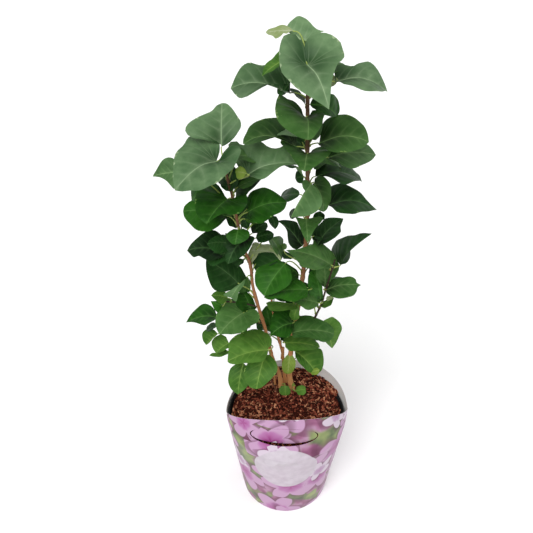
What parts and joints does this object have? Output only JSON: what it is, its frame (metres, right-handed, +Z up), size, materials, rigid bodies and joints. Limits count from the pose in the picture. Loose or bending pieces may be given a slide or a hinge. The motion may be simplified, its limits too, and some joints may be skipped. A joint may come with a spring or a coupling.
{
  "type": "potted lilac bush",
  "caption": "Young lilac bush with heart-shaped leaves on slim stems, growing in a round nursery pot inside a printed card carry sleeve.",
  "frame": {"origin": "middle of the pot's flat underside", "axes": "+Z up the plant, -Y towards the sleeve's front panel with the hand hole, +X to its right"},
  "size_m": [0.2577, 0.1789, 0.7413],
  "materials": {
    "pot_plastic": "black injection-moulded polypropylene with a fine satin grain",
    "potting_soil": "loose peat and bark chips, dark brown with red-brown chips",
    "printed_card": "thin card with a satin lilac and magenta floral print outside and a pale grey inside",
    "woody_bark": "orange-brown young bark with pores",
    "young_bark": "dark red-brown thin bark",
    "leaf_satin": "upper leaf blades with a satin grey-green bloom that catches the light",
    "leaf_green": "smooth mid-green leaf blades with pale veins",
    "leaf_dark": "dark blue-green leaf blades in the shade of the crown",
    "leaf_bright": "young bright green leaf blades"
  },
  "bodies": {
    "root": {"pot": "pot_plastic", "soil": "potting_soil", "sleeve_front": "printed_card", "sleeve_back": "printed_card", "handle_flap": "printed_card", "stem_right": "woody_bark", "stem_left": "woody_bark", "stem_middle": "woody_bark", "stem_thin": "woody_bark", "stem_side": "young_bark", "twig_dead": "young_bark", "leaves_right_crown": "leaf_satin", "leaves_right_crown_left": "leaf_satin", "leaves_right_crown_right": "leaf_satin", "leaves_right_upper": "leaf_green", "leaves_right_upper_left": "leaf_green", "leaves_right_upper_right": "leaf_green", "leaves_right_middle": "leaf_dark", "leaves_right_middle_back": "leaf_dark", "leaves_right_middle_right": "leaf_dark", "leaves_right_lower": "leaf_dark", "leaves_right_lower_front": "leaf_satin", "leaves_right_lower_left": "leaf_dark", "leaves_right_lower_right": "leaf_dark", "leaves_side_upper": "leaf_green", "leaves_side_lower": "leaf_green", "leaves_side_front": "leaf_dark", "leaves_left_crown": "leaf_satin", "leaves_left_crown_left": "leaf_green", "leaves_left_crown_right": "leaf_green", "leaves_left_upper": "leaf_bright", "leaves_left_upper_left": "leaf_green", "leaves_left_upper_right": "leaf_green", "leaves_left_middle": "leaf_dark", "leaves_left_middle_right": "leaf_dark", "leaves_left_lower": "leaf_dark", "leaves_left_base": "leaf_satin", "leaves_left_base_tip": "leaf_bright", "leaves_left_fringe": "leaf_green", "leaves_middle_upper": "leaf_green", "leaves_middle_front": "leaf_green", "leaves_middle_back": "leaf_dark", "leaves_middle_lower": "leaf_dark", "leaves_foot_right": "leaf_green", "leaves_foot_right_low": "leaf_bright", "leaves_foot_left": "leaf_green", "leaves_foot_left_low": "leaf_bright", "leaves_foot_back": "leaf_green", "leaves_sprouts": "leaf_bright"}
  },
  "joints": []
}
